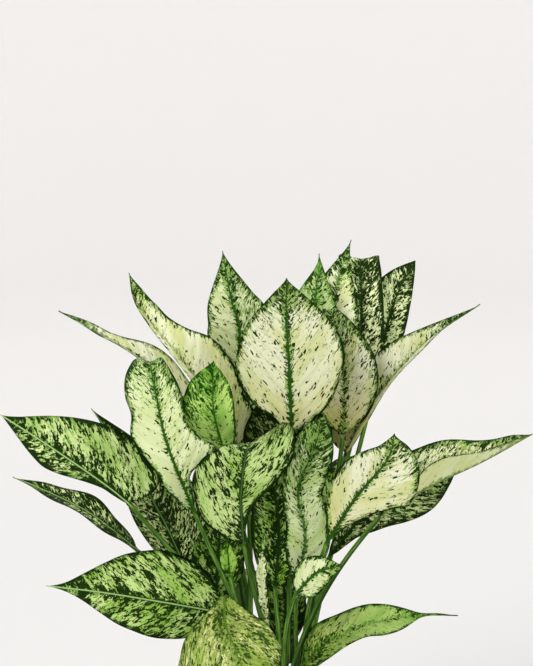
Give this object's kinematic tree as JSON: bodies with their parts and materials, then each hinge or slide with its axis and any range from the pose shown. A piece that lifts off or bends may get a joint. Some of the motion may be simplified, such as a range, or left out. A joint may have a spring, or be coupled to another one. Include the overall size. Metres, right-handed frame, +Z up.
{
  "type": "potted chinese evergreen",
  "caption": "Leafy house plant with upright canes and broad cream-and-green flecked leaves, standing in a plain tapered pot.",
  "frame": {"origin": "middle of the pot's flat foot, on the surface that it stands on", "axes": "+Z up along the pot's axis; -Y towards the front of the plant, where most leaves face; +X to the right seen from the front"},
  "size_m": [0.4226, 0.3019, 0.5332],
  "materials": {
    "pot": "matt, faintly speckled off-white",
    "soil": "crumbly dark potting mix with bark and perlite",
    "stem": "satin green with ring scars",
    "leaf_cream": "satin cream with sparse green flecks and a dark edge",
    "leaf_pale": "satin pale green with green flecks and a dark edge",
    "leaf_lime": "satin lime under a dense dark green network",
    "leaf_dark": "satin dark green with small pale patches",
    "leaf_young": "glossier bright green, lightly flecked",
    "leaf_olive": "satin olive green, flecked and yellowing"
  },
  "bodies": {
    "root": {"pot": "pot", "soil": "soil", "cane_left": "stem", "cane_right": "stem", "cane_front": "stem", "cane_back": "stem", "leaf_front_drooping": "leaf_olive", "leaf_small_front": "leaf_pale", "leaf_young_rolled": "leaf_young", "leaf_spear": "leaf_pale", "leaf_dark_centre": "leaf_dark", "leaf_right_long": "leaf_cream", "leaf_front_broad": "leaf_lime", "leaf_small_bright": "leaf_young", "leaf_centre_tall": "leaf_cream", "leaf_left_low": "leaf_lime", "leaf_inner_left": "leaf_dark", "leaf_inner_top": "leaf_dark", "leaf_rear_low_left": "leaf_lime", "leaf_left_dark": "leaf_dark", "leaf_left_narrow": "leaf_dark", "leaf_left_middle": "leaf_lime", "leaf_rear_left": "leaf_pale", "leaf_left_pale": "leaf_pale", "leaf_left_flat": "leaf_cream", "leaf_left_folded": "leaf_cream", "leaf_right_drooping": "leaf_olive", "leaf_rear_right": "leaf_lime", "leaf_right_dark": "leaf_dark", "leaf_top_right": "leaf_dark", "leaf_right_pale": "leaf_cream", "leaf_right_curled": "leaf_pale", "leaf_right_upper": "leaf_cream", "leaf_right_cream": "leaf_cream", "leaf_rear_drooping": "leaf_lime", "leaf_rear_low": "leaf_lime", "leaf_rear_middle": "leaf_pale", "leaf_inner_low": "leaf_dark", "leaf_rear_high_right": "leaf_cream", "leaf_rear_high_left": "leaf_pale", "leaf_top_dark": "leaf_dark", "leaf_top_back": "leaf_cream", "leaf_top_young": "leaf_young", "leaf_top_left": "leaf_pale"}
  },
  "joints": []
}
